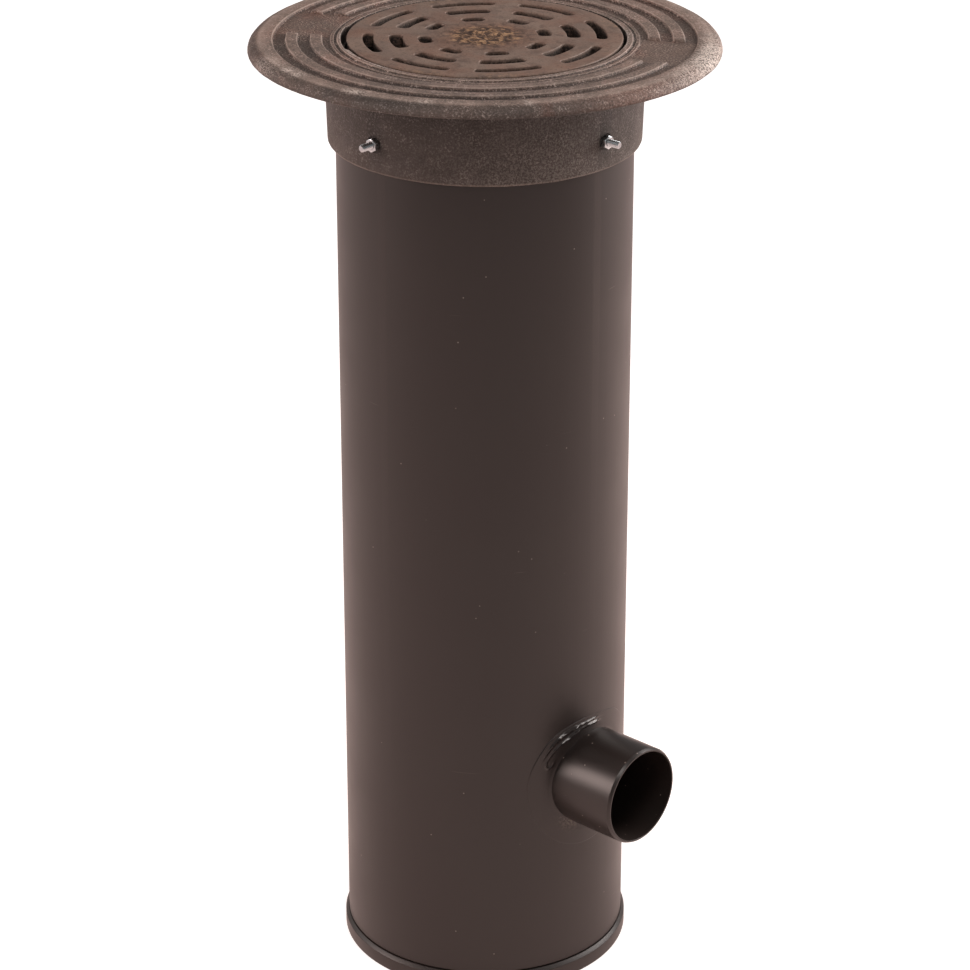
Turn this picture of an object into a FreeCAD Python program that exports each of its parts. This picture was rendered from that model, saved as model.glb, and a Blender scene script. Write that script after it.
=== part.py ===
import FreeCAD
import Part

import math
import os

# Rainwater gully: a plastic riser pipe with a welded base and side outlet, capped by a cast-iron
# frame that carries a loose slotted grate. Lengths are millimetres and angles are degrees.
# The origin is the centre of the base's underside, +Z is up and +X runs along the outlet.

# Riser pipe and base plate
riser_outer_d = 315.0
riser_wall = 9.7
riser_length = 1008.0
riser_foot_bevel = 2.0
base_thickness = 20.0
base_overhang = 4.0
base_foot_bevel = 2.5
base_top_bevel = 3.5
base_weld_leg = 12.0

# Outlet spigot, let into the side of the riser and welded round its root
outlet_outer_d = 110.0
outlet_wall = 3.5
outlet_axis_z = 246.5
outlet_projection = 75.5
outlet_socket_length = 66.0
outlet_root_taper = 2.5
outlet_hole_clearance = 0.3
outlet_weld_riser_leg = 29.5
outlet_weld_spigot_leg = 4.0

# Grate seat inside the frame
seat_overhang = 14.0
seat_width = 13.9
seat_thickness = 10.0
grate_clearance = 3.4
grate_drop = 0.5

# Frame flange with its raised lip, concentric ribs and rim
lip_width = 7.8
lip_drop = 1.0
lip_slope_run = 6.5
first_groove_width = 8.0
rib_width = 12.0
groove_width = 13.7
rib_count = 2
groove_depth = 3.3
rib_draft = 20.0
rim_width = 26.1
rim_round_width = 15.0
rim_round_height = 11.0
rim_round_steps = 4
flange_thickness = 12.5

# Recessed lands that interrupt the ribs on opposite sides
land_width = 78.0
land_angle = 27.0

# Lifting notch in the lip, beside the grate
notch_depth = 16.0
notch_reach = 2.6
notch_angle = 208.0
notch_span = 33.0

# Collar of the frame, slipped over the top of the riser
collar_overlap = 77.0
collar_clearance = 0.6
collar_wall = 7.7
collar_draft = 2.0
collar_edge_bevel = 3.0
collar_root_bevel = 8.0

# Grate with three rings of slots
grate_depth = 23.0
grate_web = 15.0
grate_rim_width = 14.0
grate_edge_draft = 2.0
slots_per_ring = 8
slot_start_angle = 8.9
slot_edge_land = 16.6
outer_slot_width = 11.5
outer_slot_span = 33.0
outer_bar_width = 16.2
middle_slot_width = 14.5
middle_slot_span = 30.0
inner_bar_width = 15.4
inner_slot_width = 14.0
inner_slot_span = 22.5
slot_corner_round = 5.5
centre_boss_d = 68.0
centre_boss_height = 1.1
centre_boss_draft = 45.0

# Bolts that clamp the collar to the riser, heads inside and nuts outside
bolt_count = 4
bolt_d = 8.0
bolt_length = 40.0
bolt_height_above_edge = 31.8
bolt_hole_clearance = 0.5
bolt_tip_bevel = 1.0
hex_across_flats = 13.0
bolt_head_height = 5.3
nut_height = 6.5
thread_clearance = 0.1
washer_outer_d = 16.0
washer_thickness = 1.6
spot_face_d = 18.0
spot_face_depth = 1.2

# Radii and levels that follow from the sizes above
riser_outer_r = riser_outer_d / 2
riser_inner_r = riser_outer_r - riser_wall
riser_top_z = base_thickness + riser_length
outlet_outer_r = outlet_outer_d / 2
outlet_mouth_x = riser_outer_r + outlet_projection
outlet_root_length = outlet_mouth_x - outlet_socket_length
seat_inner_r = riser_inner_r - seat_overhang
pocket_r = seat_inner_r + seat_width
grate_r = pocket_r - grate_clearance
seat_z = riser_top_z + seat_thickness
grate_top_z = seat_z + grate_depth
frame_top_z = grate_top_z + grate_drop
lip_z = frame_top_z - lip_drop
groove_z = frame_top_z - groove_depth
flange_z = frame_top_z - flange_thickness
rib_foot = groove_depth * math.tan(math.radians(rib_draft))
lip_outer_r = pocket_r + lip_width
lip_foot_r = lip_outer_r + lip_slope_run
first_rib_r = lip_foot_r + first_groove_width
rim_inner_r = first_rib_r + rib_count * (rib_width + groove_width)
rim_outer_r = rim_inner_r + rim_width
collar_inner_r = riser_outer_r + collar_clearance
collar_bottom_z = riser_top_z - collar_overlap
bolt_z = collar_bottom_z + bolt_height_above_edge
bolt_hole_r = bolt_d / 2 + bolt_hole_clearance
washer_face_r = math.sqrt(riser_inner_r**2 - (washer_outer_d / 2) ** 2)
head_seat_r = washer_face_r - washer_thickness

origin = FreeCAD.Vector(0, 0, 0)
x_axis = FreeCAD.Vector(1, 0, 0)
z_axis = FreeCAD.Vector(0, 0, 1)


def collar_outer_r(z):
    """Outside of the drafted collar at height z."""
    return collar_inner_r + collar_wall + (z - collar_bottom_z) * math.tan(math.radians(collar_draft))


nut_seat_r = collar_outer_r(bolt_z) - spot_face_depth


def turned(section, span=360.0):
    """Solid made by turning a section of (radius, height) corners about Z."""
    corners = [FreeCAD.Vector(radius, 0, height) for radius, height in section]
    outline = Part.makePolygon(corners + corners[:1])
    return Part.Face(outline).revolve(origin, z_axis, span)


def cylinder_x(radius, start_x, end_x, z):
    """Cylinder along +X at height z."""
    return Part.makeCylinder(radius, end_x - start_x, FreeCAD.Vector(start_x, 0, z), x_axis)


def round_z(shape, angle):
    """Copy of a shape turned about the gully's axis."""
    copy = shape.copy()
    copy.rotate(origin, z_axis, angle)
    return copy


def ring_of(shape, count, start_angle=0.0):
    """Evenly spaced copies about the gully's axis."""
    return [round_z(shape, start_angle + index * 360.0 / count) for index in range(count)]


def ring_sector(inner_r, outer_r, low_z, high_z, start_angle, span):
    """Block between two radii, two levels and two directions."""
    section = [(inner_r, low_z), (outer_r, low_z), (outer_r, high_z), (inner_r, high_z)]
    return round_z(turned(section, span), start_angle)


def bolt_holes():
    """Radial drillings through the riser and the collar."""
    return ring_of(cylinder_x(bolt_hole_r, seat_inner_r, rim_outer_r, bolt_z), bolt_count)


def make_base_plate():
    """Round plate that closes the riser and stands a little proud of it."""
    radius = riser_outer_r + base_overhang
    return turned([
        (0, 0),
        (radius - base_foot_bevel, 0),
        (radius, base_foot_bevel),
        (radius, base_thickness - base_top_bevel),
        (radius - base_top_bevel, base_thickness),
        (0, base_thickness),
    ])


def make_base_weld():
    """Fillet weld in the inside corner between the base plate and the riser."""
    return turned([
        (riser_inner_r, base_thickness),
        (riser_inner_r, base_thickness + base_weld_leg),
        (riser_inner_r - base_weld_leg, base_thickness),
    ])


def make_riser_pipe():
    """Straight pipe with a bevelled foot, drilled for the bolts and cut out for the outlet."""
    pipe = turned([
        (riser_inner_r, base_thickness),
        (riser_outer_r - riser_foot_bevel, base_thickness),
        (riser_outer_r, base_thickness + riser_foot_bevel),
        (riser_outer_r, riser_top_z),
        (riser_inner_r, riser_top_z),
    ])
    outlet_hole = cylinder_x(outlet_outer_r + outlet_hole_clearance, 0, outlet_mouth_x, outlet_axis_z)
    return pipe.cut([outlet_hole] + bolt_holes())


def outlet_root():
    """Root of the spigot, tapered so that it can be driven into its hole, drawn out to the gully's axis."""
    axis_r = outlet_outer_r - outlet_root_length * math.tan(math.radians(outlet_root_taper))
    return Part.makeCone(axis_r, outlet_outer_r, outlet_root_length,
                         FreeCAD.Vector(0, 0, outlet_axis_z), x_axis)


def make_outlet_spigot():
    """Short pipe with a tapered root, cut to the curve of the riser's bore."""
    socket_end = cylinder_x(outlet_outer_r, outlet_root_length, outlet_mouth_x, outlet_axis_z)
    spigot = outlet_root().fuse(socket_end)
    bore = cylinder_x(outlet_outer_r - outlet_wall, 0, outlet_mouth_x, outlet_axis_z)
    riser_bore = Part.makeCylinder(riser_inner_r, riser_top_z)
    return spigot.cut([bore, riser_bore])


def make_outlet_weld():
    """Extruded weld bead in the corner between the riser and the spigot, following the saddle."""
    riser = Part.makeCylinder(riser_outer_r, riser_top_z)
    root = outlet_root()
    joined = riser.fuse(root)
    saddle = [edge for edge in joined.Edges if isinstance(edge.Curve, Part.BSplineCurve)]
    beaded = joined.makeChamfer(outlet_weld_riser_leg, outlet_weld_spigot_leg, saddle)
    return beaded.cut([riser, root])


def rim_edge():
    """Rounded top edge of the rim, as a few flat steps round a quarter of an oval."""
    edge = []
    for step in range(rim_round_steps + 1):
        angle = math.radians(90.0 - step * 90.0 / rim_round_steps)
        radius = rim_outer_r - rim_round_width + rim_round_width * math.cos(angle)
        height = frame_top_z - rim_round_height + rim_round_height * math.sin(angle)
        edge.append((radius, height))
    return edge


def frame_section():
    """Section of the frame casting, from the collar's mouth up the inside and back down the outside."""
    section = [
        (collar_inner_r, collar_bottom_z),
        (collar_inner_r, riser_top_z),
        (seat_inner_r, riser_top_z),
        (seat_inner_r, seat_z),
        (pocket_r, seat_z),
        (pocket_r, lip_z),
        (lip_outer_r, lip_z),
        (lip_foot_r, groove_z),
    ]
    for index in range(rib_count):
        rib_r = first_rib_r + index * (rib_width + groove_width)
        section += [
            (rib_r - rib_foot, groove_z),
            (rib_r, frame_top_z),
            (rib_r + rib_width, frame_top_z),
            (rib_r + rib_width + rib_foot, groove_z),
        ]
    section += [(rim_inner_r - rib_foot, groove_z), (rim_inner_r, frame_top_z)]
    section += rim_edge()
    root_z = flange_z - collar_root_bevel
    edge_z = collar_bottom_z + collar_edge_bevel
    section += [
        (rim_outer_r, flange_z),
        (collar_outer_r(root_z) + collar_root_bevel, flange_z),
        (collar_outer_r(root_z), root_z),
        (collar_outer_r(edge_z), edge_z),
        (collar_outer_r(edge_z) - collar_edge_bevel, collar_bottom_z),
    ]
    return section


def make_frame():
    """Iron casting: collar, grate seat and ribbed flange, with flat round seats for the nuts."""
    frame = turned(frame_section())
    bar = Part.makeBox(2 * rim_outer_r, land_width, groove_depth,
                       FreeCAD.Vector(-rim_outer_r, -land_width / 2, groove_z))
    rib_zone = ring_sector(lip_foot_r, rim_inner_r - rib_foot, groove_z, frame_top_z, 0, 360)
    lands = round_z(bar, land_angle).common(rib_zone)
    notch = ring_sector(grate_r, pocket_r + notch_reach, frame_top_z - notch_depth, frame_top_z,
                        notch_angle, notch_span)
    spot_face = cylinder_x(spot_face_d / 2, nut_seat_r, nut_seat_r + nut_height, bolt_z)
    return frame.cut([lands, notch] + bolt_holes() + ring_of(spot_face, bolt_count))


def make_slot(outer_r, width, span):
    """Curved slot with rounded corners, right through the grate."""
    slot = ring_sector(outer_r - width, outer_r, seat_z, grate_top_z, -span / 2, span)
    upright = [
        edge for edge in slot.Edges
        if abs(edge.Vertexes[0].Point.z - edge.Vertexes[-1].Point.z) > grate_depth / 2
    ]
    return slot.makeFillet(slot_corner_round, upright)


def make_grate():
    """Round cast grate: a deep rim, a thinner slotted web and a low boss in the middle."""
    foot_r = grate_r - grate_depth * math.tan(math.radians(grate_edge_draft))
    web_z = grate_top_z - grate_web
    rim_r = foot_r - grate_rim_width
    boss_foot_r = centre_boss_d / 2
    boss_top_r = boss_foot_r - centre_boss_height * math.tan(math.radians(centre_boss_draft))
    grate = turned([
        (0, web_z),
        (rim_r, web_z),
        (rim_r, seat_z),
        (foot_r, seat_z),
        (grate_r, grate_top_z),
        (boss_foot_r, grate_top_z),
        (boss_top_r, grate_top_z + centre_boss_height),
        (0, grate_top_z + centre_boss_height),
    ])
    outer_r = grate_r - slot_edge_land
    middle_r = outer_r - outer_slot_width - outer_bar_width
    inner_r = middle_r - middle_slot_width - inner_bar_width
    slots = []
    slots += ring_of(make_slot(outer_r, outer_slot_width, outer_slot_span), slots_per_ring, slot_start_angle)
    slots += ring_of(make_slot(middle_r, middle_slot_width, middle_slot_span), slots_per_ring, slot_start_angle)
    slots += ring_of(make_slot(inner_r, inner_slot_width, inner_slot_span), slots_per_ring, slot_start_angle)
    return grate.cut(slots)


def hex_block(start_x, height):
    """Hexagon along +X at the bolts' height, with a corner upwards."""
    corner_r = hex_across_flats / math.sqrt(3)
    corners = []
    for index in range(6):
        angle = math.radians(60 * index)
        corners.append(FreeCAD.Vector(start_x, corner_r * math.sin(angle), bolt_z + corner_r * math.cos(angle)))
    return Part.Face(Part.makePolygon(corners + corners[:1])).extrude(x_axis * height)


def make_fixing_bolts():
    """Hexagon-head bolts, heads inside the riser and threaded ends pointing outwards."""
    shank_r = bolt_d / 2 - thread_clearance
    tip_x = head_seat_r + bolt_length
    head = hex_block(head_seat_r - bolt_head_height, bolt_head_height)
    shank = cylinder_x(shank_r, head_seat_r, tip_x - bolt_tip_bevel, bolt_z)
    tip = Part.makeCone(shank_r, shank_r - bolt_tip_bevel, bolt_tip_bevel,
                        FreeCAD.Vector(tip_x - bolt_tip_bevel, 0, bolt_z), x_axis)
    bolt = head.fuse([shank, tip]).removeSplitter()
    return Part.makeCompound(ring_of(bolt, bolt_count))


def make_fixing_nuts():
    """Hexagon nuts, drawn up against the flat seats in the collar."""
    nut = hex_block(nut_seat_r, nut_height)
    nut = nut.cut(cylinder_x(bolt_d / 2, nut_seat_r, nut_seat_r + nut_height, bolt_z))
    return Part.makeCompound(ring_of(nut, bolt_count))


def make_fixing_washers():
    """Plain washers between the bolt heads and the bore of the riser."""
    washer = cylinder_x(washer_outer_d / 2, head_seat_r, washer_face_r, bolt_z)
    washer = washer.cut(cylinder_x(bolt_hole_r, head_seat_r, washer_face_r, bolt_z))
    return Part.makeCompound(ring_of(washer, bolt_count))


pieces = {
    "base_plate": make_base_plate(),
    "base_weld": make_base_weld(),
    "riser_pipe": make_riser_pipe(),
    "outlet_spigot": make_outlet_spigot(),
    "outlet_weld": make_outlet_weld(),
    "frame": make_frame(),
    "grate": make_grate(),
    "fixing_bolts": make_fixing_bolts(),
    "fixing_nuts": make_fixing_nuts(),
    "fixing_washers": make_fixing_washers(),
}

os.makedirs("parts", exist_ok=True)
for node, shape in pieces.items():
    shape.exportStep(os.path.join("parts", node + ".step"))
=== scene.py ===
import math

import bmesh
import bpy
import numpy as np
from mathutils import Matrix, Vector, noise


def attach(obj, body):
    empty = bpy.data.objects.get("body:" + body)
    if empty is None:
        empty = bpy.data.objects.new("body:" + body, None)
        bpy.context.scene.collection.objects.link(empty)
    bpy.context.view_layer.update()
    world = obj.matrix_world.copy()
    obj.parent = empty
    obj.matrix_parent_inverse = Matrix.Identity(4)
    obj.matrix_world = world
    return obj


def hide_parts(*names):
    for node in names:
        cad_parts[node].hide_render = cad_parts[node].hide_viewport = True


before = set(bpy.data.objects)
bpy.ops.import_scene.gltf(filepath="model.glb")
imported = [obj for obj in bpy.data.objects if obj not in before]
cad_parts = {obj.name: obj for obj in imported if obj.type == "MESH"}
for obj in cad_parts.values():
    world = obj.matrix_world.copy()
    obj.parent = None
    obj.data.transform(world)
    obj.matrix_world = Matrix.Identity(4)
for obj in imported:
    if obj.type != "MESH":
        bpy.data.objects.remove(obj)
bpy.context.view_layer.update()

mm = 0.001

# Base plate: a round disc sawn from thick polyethylene sheet, which closes the foot of the riser.
# It stands a few millimetres proud of the pipe, and its sawn edges are broken with a scraper.


def rounded(corners, steps=5):
    """Outline of (across, up) points, in which each (across, up, round) corner becomes a short arc."""
    outline = []
    count = len(corners)
    longest_cut = 0.48
    for index, (across, up, radius) in enumerate(corners):
        corner = np.array((across, up))
        before = np.array(corners[index - 1][:2]) - corner
        after = np.array(corners[(index + 1) % count][:2]) - corner
        if radius <= 0.0:
            outline.append(tuple(corner))
            continue
        to_before = before / np.linalg.norm(before)
        to_after = after / np.linalg.norm(after)
        half = 0.5 * math.acos(np.clip(np.dot(to_before, to_after), -1.0, 1.0))
        shorter_side = min(np.linalg.norm(before), np.linalg.norm(after))
        cut = min(radius / math.tan(half), longest_cut * shorter_side)
        radius = cut * math.tan(half)
        middle = to_before + to_after
        centre = corner + middle / np.linalg.norm(middle) * radius / math.sin(half)
        start = corner + to_before * cut - centre
        turn = np.arctan2(*(corner + to_after * cut - centre)[::-1]) - np.arctan2(*start[::-1])
        turn = (turn + math.pi) % (2.0 * math.pi) - math.pi
        for step in range(steps + 1):
            angle = turn * step / steps
            cosine, sine = math.cos(angle), math.sin(angle)
            outline.append((centre[0] + start[0] * cosine - start[1] * sine,
                            centre[1] + start[0] * sine + start[1] * cosine))
    return outline


def placed(name, data):
    """New object in the scene, at the origin."""
    made = bpy.data.objects.new(name, data)
    bpy.context.scene.collection.objects.link(made)
    return made


smooth_angle = 40.0


def skin(name, rows, loop=True, attributes=(), sharp=smooth_angle):
    """Object skinned over closed rings of points; loop joins the last ring to the first."""
    rows = np.asarray(rows, dtype=float)
    height, width = rows.shape[:2]
    faces = []
    for row in range(height if loop else height - 1):
        above = (row + 1) % height
        for column in range(width):
            beside = (column + 1) % width
            faces.append((row * width + column, row * width + beside,
                          above * width + beside, above * width + column))
    mesh = bpy.data.meshes.new(name)
    mesh.from_pydata(rows.reshape(-1, 3).tolist(), [], faces)
    for label, values in dict(attributes).items():
        layer = mesh.attributes.new(label, "FLOAT", "POINT")
        layer.data.foreach_set("value", np.asarray(values, dtype=np.float32).ravel())
    clean(mesh, sharp)
    return placed(name, mesh)


def clean(mesh, sharp=smooth_angle):
    """Merge doubles, turn the faces outwards and shade smooth up to the given angle."""
    merge_distance = 0.004 * mm
    shape = bmesh.new()
    shape.from_mesh(mesh)
    bmesh.ops.remove_doubles(shape, verts=shape.verts, dist=merge_distance)
    bmesh.ops.dissolve_degenerate(shape, edges=shape.edges, dist=0.5 * merge_distance)
    bmesh.ops.recalc_face_normals(shape, faces=shape.faces)
    shape.to_mesh(mesh)
    shape.free()
    mesh.shade_smooth()
    mesh.set_sharp_from_angle(angle=math.radians(sharp))


def lathe(outline, columns):
    """Rows of points of a section of (radius, height), turned about the gully's axis."""
    angles = np.linspace(0.0, 2.0 * math.pi, columns, endpoint=False)
    return [[(r * math.cos(a), r * math.sin(a), z) for a in angles] for r, z in outline]


def colour(code):
    """Linear colour of an sRGB hex value."""
    parts = [int(code[index:index + 2], 16) / 255.0 for index in (1, 3, 5)]
    return [part / 12.92 if part <= 0.04045 else ((part + 0.055) / 1.055) ** 2.4 for part in parts] + [1.0]


def add(tree, kind, sockets=(), **settings):
    """Add a node with its settings; each socket gets a value or a link from another node's output."""
    made = tree.nodes.new(kind)
    for label, value in settings.items():
        setattr(made, label, value)
    for socket, value in dict(sockets).items():
        if isinstance(value, bpy.types.NodeSocket):
            tree.links.new(value, made.inputs[socket])
        else:
            made.inputs[socket].default_value = value
    return made


def per_metre(size_mm):
    """Texture scale at which one feature of a noise is about this many millimetres wide."""
    return 1000.0 / size_mm


def start_material(name):
    """New material, with its node tree, its shader and its Object coordinates."""
    material = bpy.data.materials.new(name)
    material.use_nodes = True
    tree = material.node_tree
    place = add(tree, "ShaderNodeTexCoord").outputs["Object"]
    return material, tree, tree.nodes["Principled BSDF"], place


def dress(piece, material, node):
    """Give a piece its material and tie it to the solid that it stands for."""
    piece.data.materials.clear()
    piece.data.materials.append(material)
    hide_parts(node)
    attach(piece, "root")


# Extruded polyethylene, brown-black: satin and slightly waxy, with faint lines along the pipe from
# the die, pale scuffs from handling and a little dust, so its long soft highlights are never clean.
polyethylene, tree, shader, place = start_material("extruded_polyethylene")
die_line_width = 2.5
die_line_length = 900.0
lines_place = add(tree, "ShaderNodeMapping", {
    "Vector": place,
    "Scale": (per_metre(die_line_width), per_metre(die_line_width), per_metre(die_line_length)),
}).outputs[0]
scuff_length = 70.0
scuff_width = 2.2
scuff_place = add(tree, "ShaderNodeMapping", {
    "Vector": place,
    "Rotation": (0.0, math.radians(24.0), math.radians(35.0)),
    "Scale": (per_metre(scuff_length), per_metre(scuff_length), per_metre(scuff_width)),
}).outputs[0]
die_lines, scuff_noise, haze, crumbs = [
    add(tree, "ShaderNodeTexNoise", {
        "Vector": where, "Scale": scale, "Detail": detail, "Roughness": roughness}).outputs[0]
    for where, scale, detail, roughness in (
        (lines_place, 1.0, 2.0, 0.5),
        (scuff_place, 1.0, 1.0, 0.5),
        (place, per_metre(110.0), 3.0, 0.5),
        (place, per_metre(3.0), 4.0, 0.7))]
dust_cell, fleck_cell = [
    add(tree, "ShaderNodeTexVoronoi", {"Vector": place, "Scale": per_metre(apart)}).outputs["Distance"]
    for apart in (26.0, 12.0)]
remelted, dusty = [
    add(tree, "ShaderNodeAttribute", attribute_name=label).outputs["Fac"]
    for label in ("remelted", "dusty")]
fleck_strength = add(tree, "ShaderNodeMapRange", {"Value": remelted, "From Max": 0.3}).outputs[0]
scuffs, dust, flecks, crumbly, satin = [
    add(tree, "ShaderNodeMapRange", {
        "Value": value, "From Min": start, "From Max": end, "To Min": least, "To Max": most}).outputs[0]
    for value, start, end, least, most in (
        (scuff_noise, 0.80, 0.86, 0.0, 0.35),
        (dust_cell, 0.036, 0.022, 0.0, 0.6),
        (fleck_cell, 0.085, 0.05, 0.0, fleck_strength),
        (crumbs, 0.45, 0.60, 0.0, 0.8),
        (haze, 0.3, 0.7, 0.36, 0.44))]
marks = scuffs
for grit in (dust, flecks):
    marks = add(tree, "ShaderNodeMath", {0: marks, 1: grit}, operation="MAXIMUM").outputs[0]
dust_here = add(tree, "ShaderNodeMath", {0: dusty, 1: crumbly}, operation="MULTIPLY").outputs[0]
shade = colour("#26201d")
for share, coat in ((haze, "#2d2523"), (marks, "#9c8e86"), (dust_here, "#84786c")):
    shade = add(tree, "ShaderNodeMix", {0: share, 6: shade, 7: colour(coat)}, data_type="RGBA").outputs[2]
gloss = add(tree, "ShaderNodeMix", {0: remelted, 2: satin, 3: 0.2}).outputs[0]
relief = add(tree, "ShaderNodeBump", {
    "Height": die_lines, "Strength": 0.12, "Distance": 0.05 * mm}).outputs[0]
for socket, source in (("Base Color", shade), ("Roughness", gloss), ("Normal", relief)):
    tree.links.new(source, shader.inputs[socket])
shader.inputs["IOR"].default_value = 1.5

riser_r = 157.5 * mm
base_r = riser_r + 4.0 * mm
base_top = 20.0 * mm
base_bevel = 3.5 * mm
base_plate = skin("base_plate_disc", lathe(rounded([
    (0.0, 0.0, 0.0),
    (base_r, 0.0, 2.5 * mm),
    (base_r, base_top - base_bevel, 1.2 * mm),
    (base_r - base_bevel, base_top, 0.8 * mm),
    (0.0, base_top, 0.0),
]), columns=240), loop=False)
dress(base_plate, polyethylene, "base_plate")

# Base weld: a fillet of extruded polyethylene laid by hand in the inside corner of the foot.
# It shows only when one looks down the riser, as a slightly uneven bead.
bore_r = riser_r - 9.7 * mm
base_leg = 12.0 * mm
ripple_height = 0.35 * mm
ripple_count = 57
weld_rows = []
weld_columns = 360
for fall in np.linspace(0.0, 1.0, 9):
    ring = []
    for column in range(weld_columns):
        angle = 2.0 * math.pi * column / weld_columns
        ripple = ripple_height * math.sin(ripple_count * angle) * math.sin(math.pi * fall)
        reach = base_leg * fall + ripple
        rise = base_leg * (1.0 - fall) + ripple
        radius = bore_r - reach
        ring.append((radius * math.cos(angle), radius * math.sin(angle), base_top + rise))
    weld_rows.append(ring)
weld_rows += lathe([(bore_r, base_top)], weld_columns)
base_weld = skin("base_weld_bead", weld_rows)
dress(base_weld, polyethylene, "base_weld")

# Riser: a length of 315 mm polyethylene pipe, sawn square, its foot bevelled before welding.
# It is drilled for the frame's bolts and cut out low down for the outlet.
riser_top = 1028.0 * mm
bolt_level = 982.8 * mm
bolt_count = 4
bolt_hole_r = 4.5 * mm
foot_bevel = 2.0 * mm
outlet_level = 246.5 * mm
riser = skin("riser_tube", lathe(rounded([
    (bore_r, base_top, 0.0),
    (riser_r - foot_bevel, base_top, 0.0),
    (riser_r, base_top + foot_bevel, 0.8 * mm),
    (riser_r, riser_top, 0.6 * mm),
    (bore_r, riser_top, 0.6 * mm),
]), columns=256))


def rod(radius, start, end, columns):
    """Rows of a round bar along +X between two distances from the gully's axis, at height 0."""
    angles = np.linspace(0.0, 2.0 * math.pi, columns, endpoint=False)
    ends = [(start, 0.0), (start, radius), (end, radius), (end, 0.0)]
    return np.array([[(x, r * math.cos(a), r * math.sin(a)) for a in angles] for x, r in ends])


def cut_with(piece, cutter, operation="DIFFERENCE"):
    """Join a helper shape to a piece or cut it away, and make the result plain mesh."""
    modifier = piece.modifiers.new("cut", "BOOLEAN")
    modifier.operation = operation
    modifier.solver = "MANIFOLD"
    modifier.object = cutter
    made_plain(piece)
    bpy.data.objects.remove(cutter)


def made_plain(piece):
    """Replace a piece's mesh by its evaluated one and take its modifiers off."""
    view = bpy.context.evaluated_depsgraph_get()
    mesh = bpy.data.meshes.new_from_object(piece.evaluated_get(view))
    piece.modifiers.clear()
    piece.data = mesh


def bolt_drill(radius, start, end):
    """Four radial rods at the bolts' height, as one helper object."""
    one = rod(radius, start, end, columns=32) + np.array((0.0, 0.0, bolt_level))
    drill = bpy.data.meshes.new("drill")
    shape = bmesh.new()
    for turn in range(bolt_count):
        angle = 2.0 * math.pi * turn / bolt_count
        cosine, sine = math.cos(angle), math.sin(angle)
        rings = [[shape.verts.new((x * cosine - y * sine, x * sine + y * cosine, z))
                  for x, y, z in ring] for ring in one[1:3]]
        shape.faces.new(rings[0][::-1])
        shape.faces.new(rings[1])
        for index in range(len(rings[0])):
            beside = (index + 1) % len(rings[0])
            shape.faces.new((rings[0][index], rings[0][beside], rings[1][beside], rings[1][index]))
    bmesh.ops.recalc_face_normals(shape, faces=shape.faces)
    shape.to_mesh(drill)
    shape.free()
    return placed("drill", drill)


spigot_r = 55.0 * mm
hole_clearance = 0.3 * mm
hole_rows = rod(spigot_r + hole_clearance, start=100.0 * mm, end=200.0 * mm, columns=160)
hole_rows += np.array((0.0, 0.0, outlet_level))
cut_with(riser, skin("outlet_hole", hole_rows, loop=False))
cut_with(riser, bolt_drill(bolt_hole_r, start=130.0 * mm, end=170.0 * mm))
clean(riser.data)
dress(riser, polyethylene, "riser_pipe")

# Outlet: a stub of 110 mm polyethylene pipe, let into the side of the riser and cut to its bore.
# Its mouth is sawn square and bevelled for a socket, which leaves only a fine bright edge.
spigot_wall = 3.5 * mm
mouth_x = 233.0 * mm
root_end = mouth_x - 66.0 * mm
root_taper = math.tan(math.radians(2.5))
mouth_round = 0.4 * mm
mouth_bevel = 1.7 * mm
mouth_bevel_length = 3.4 * mm
spigot_columns = 192


def spigot_ring(radius, distance=None):
    """Ring of points round the outlet's axis, square at a distance, or else on the riser's bore."""
    ring = []
    for column in range(spigot_columns):
        angle = 2.0 * math.pi * column / spigot_columns
        y = radius * math.cos(angle)
        x = math.sqrt(bore_r ** 2 - y ** 2) if distance is None else distance
        ring.append((x, y, outlet_level + radius * math.sin(angle)))
    return ring


spigot_section = rounded([
    (mouth_x - mouth_bevel_length, spigot_r, mouth_round),
    (mouth_x, spigot_r - mouth_bevel, mouth_round),
    (mouth_x, spigot_r - spigot_wall, mouth_round),
    (root_end, spigot_r - spigot_wall, 0.0),
    (root_end, spigot_r, 0.0),
])
spigot_rows = [spigot_ring(spigot_r - (root_end - bore_r) * root_taper), spigot_ring(spigot_r, root_end)]
spigot_rows += [spigot_ring(radius, distance) for distance, radius in spigot_section[:-2]]
spigot_rows += [spigot_ring(spigot_r - spigot_wall)]
stub_polish = np.full((len(spigot_rows), spigot_columns), 0.3)
spigot = skin("outlet_stub", spigot_rows, attributes={"remelted": stub_polish})
dress(spigot, polyethylene, "outlet_spigot")

# Outlet weld: a wide bead of molten polyethylene pressed by hand into the corner round the stub.
# The welder's shoe leaves a flat strip with a thin lip on the pipe, and glossy ridges where it dragged.
bead_reach = 29.5 * mm
bead_rise = 2.0 * mm
band_thickness = 1.5 * mm
bead_lip = 0.9 * mm
bead_columns = 480
bead_steps = 56


def bump_at(value, middle, width):
    """Smooth rise and fall of height one about a middle."""
    return math.exp(-((value - middle) / width) ** 2)


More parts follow.
